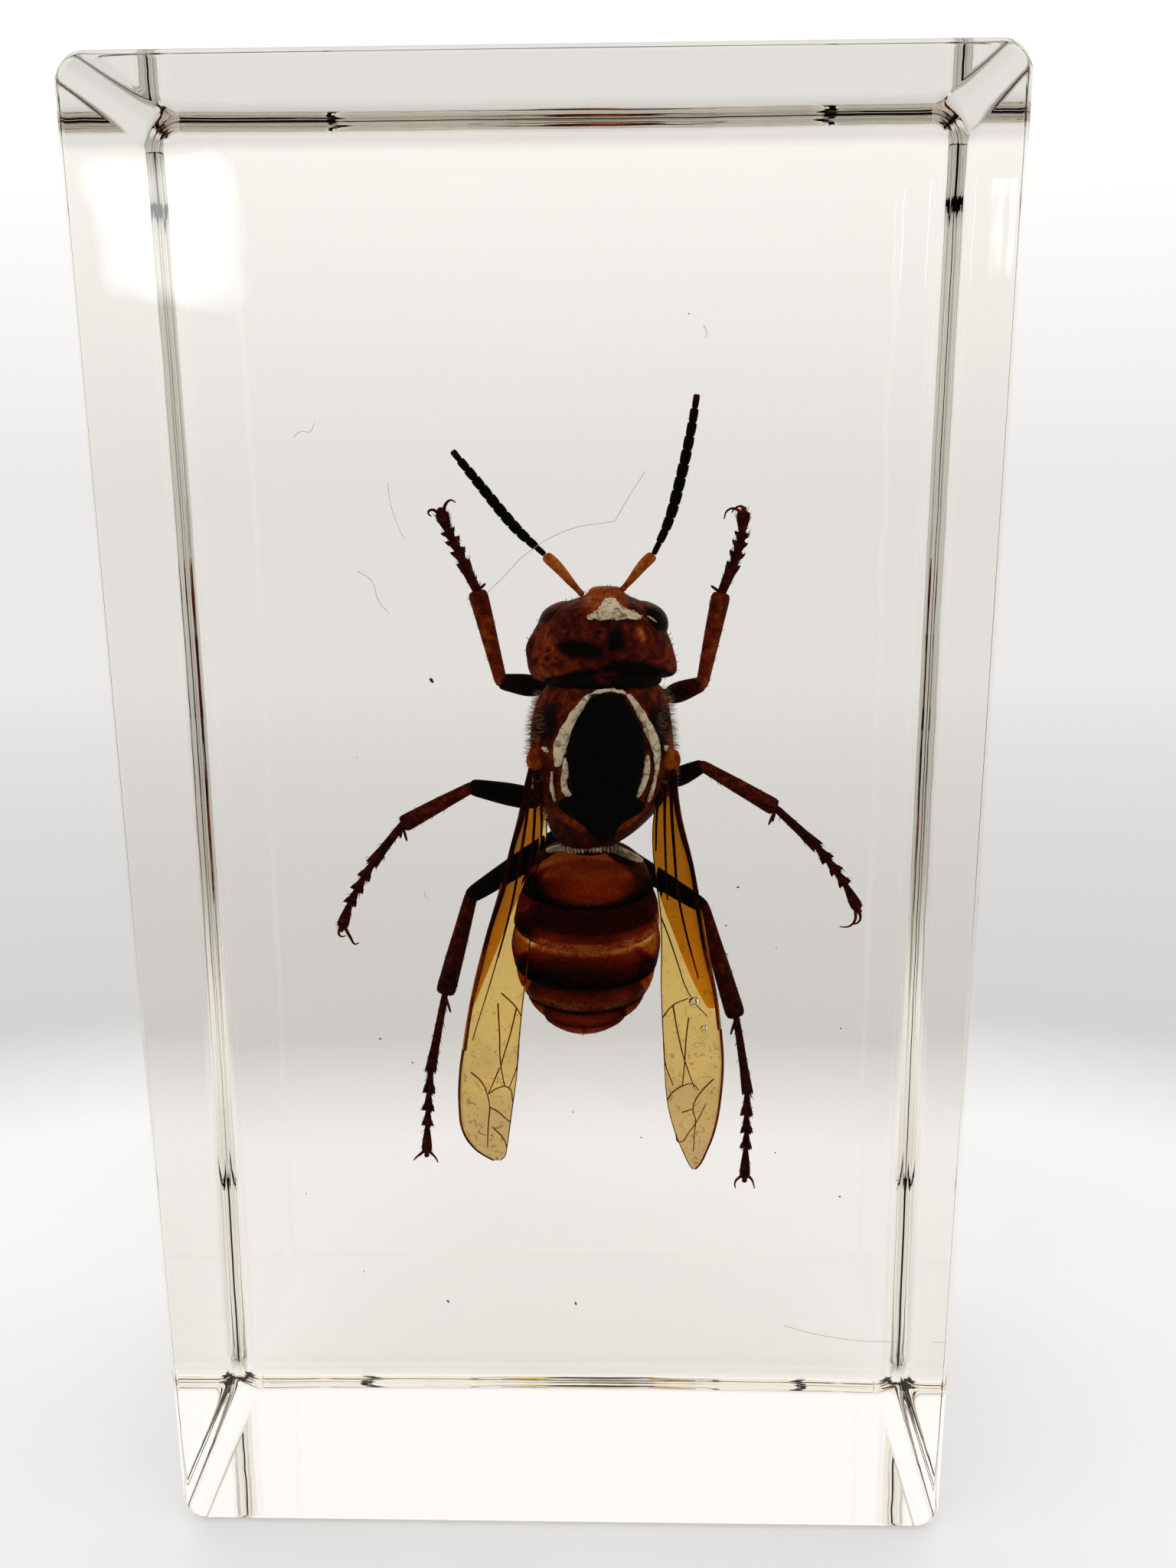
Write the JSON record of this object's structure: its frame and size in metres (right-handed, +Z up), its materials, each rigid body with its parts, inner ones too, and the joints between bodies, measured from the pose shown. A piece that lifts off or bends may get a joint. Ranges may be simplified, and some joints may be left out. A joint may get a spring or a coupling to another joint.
{
  "type": "insect in resin block",
  "caption": "Clear cast-resin block that stands on its end and displays a dried hornet sealed inside it.",
  "frame": {"origin": "middle of the foot, the flat end that the block stands on", "axes": "+Z up along the block's longest side, +X to the right of someone facing the front, +Y away from them through the block's thickness"},
  "size_m": [0.041, 0.022, 0.073],
  "materials": {
    "clear_resin": "polished",
    "chitin": "gloss",
    "wing_membrane": "gloss",
    "trapped_air": "satin",
    "dust": "matte"
  },
  "bodies": {
    "root": {"resin_block": "clear_resin"}
  },
  "joints": []
}
